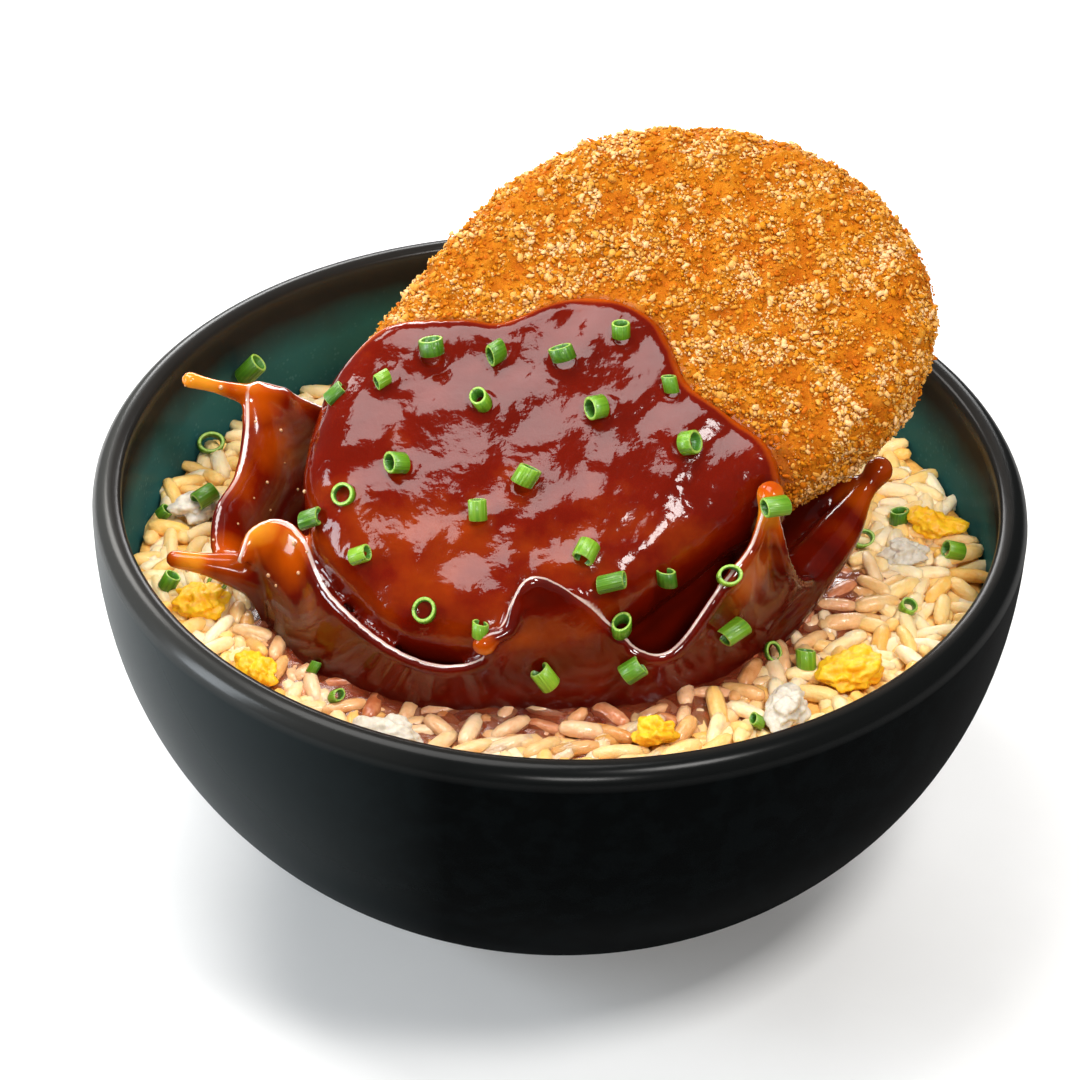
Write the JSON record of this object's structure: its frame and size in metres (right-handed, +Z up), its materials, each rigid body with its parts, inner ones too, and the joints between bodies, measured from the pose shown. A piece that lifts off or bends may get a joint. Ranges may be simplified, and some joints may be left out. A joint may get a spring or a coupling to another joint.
{
  "type": "bowl of chicken chop rice",
  "caption": "Round dark bowl of fried rice with a breaded chicken chop leaning in it, under a brown sauce that is thrown up in a crown, with egg bits and spring onion rings.",
  "frame": {"origin": "middle of the bowl's foot, on the surface that the bowl stands on", "axes": "+Z up; the picture looks along +Y and down; +X is to the right in the picture"},
  "size_m": [0.1926, 0.1926, 0.1433],
  "materials": {
    "bowl_glaze": "near black satin glaze, speckled dark teal inside",
    "cooked_rice": "moist cream fried rice grains",
    "breadcrumb_crust": "rough golden fried breadcrumbs",
    "brown_sauce": "thick glossy red-brown sauce",
    "egg_yolk": "moist yellow scrambled egg",
    "egg_white": "moist white scrambled egg",
    "spring_onion": "fresh green with pale cut ends"
  },
  "bodies": {
    "root": {"bowl": "bowl_glaze", "rice": "cooked_rice", "chicken_chop": "breadcrumb_crust", "sauce": "brown_sauce", "egg_yolk_1": "egg_yolk", "egg_yolk_2": "egg_yolk", "egg_yolk_3": "egg_yolk", "egg_yolk_4": "egg_yolk", "egg_yolk_5": "egg_yolk", "egg_yolk_6": "egg_yolk", "egg_white_1": "egg_white", "egg_white_2": "egg_white", "egg_white_3": "egg_white", "egg_white_4": "egg_white", "spring_onion_1": "spring_onion", "spring_onion_2": "spring_onion"}
  },
  "joints": []
}
